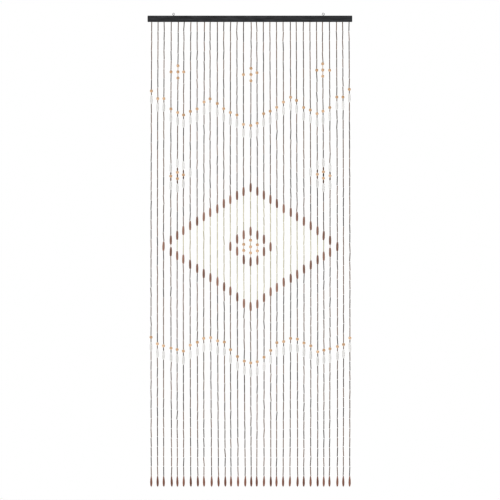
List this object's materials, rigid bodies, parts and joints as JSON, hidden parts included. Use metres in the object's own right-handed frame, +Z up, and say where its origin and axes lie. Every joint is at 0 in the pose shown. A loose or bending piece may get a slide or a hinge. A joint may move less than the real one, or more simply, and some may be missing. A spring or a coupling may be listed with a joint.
{
  "type": "bead curtain with hanging bar",
  "caption": "Beaded string door curtain with a large diamond and zigzags, on a dark flat bar with screw eyes to hang it by.",
  "frame": {"origin": "midway between the centres of the two screw-eye rings, which the curtain is held by", "axes": "+X along the bar to the viewer's right, +Y towards the wall or lintel behind, +Z up"},
  "size_m": [0.9, 0.015, 2.0832],
  "materials": {
    "charcoal_paint": "satin paint on wood",
    "bright_steel": "zinc-plated wire, gone hazy",
    "dark_bead_wood": "dark stained and lacquered",
    "cream_bead_wood": "natural pale wood, lacquered",
    "white_bead_wood": "white painted wood",
    "brown_bead_wood": "reddish-brown stained and lacquered, the end beads darker",
    "orange_bead_wood": "tan-orange stained and lacquered",
    "pale_thread": "twisted nylon thread"
  },
  "bodies": {
    "root": {"bar": "charcoal_paint", "screw_eye_left": "bright_steel", "screw_eye_right": "bright_steel", "strands": "dark_bead_wood"}
  },
  "joints": []
}
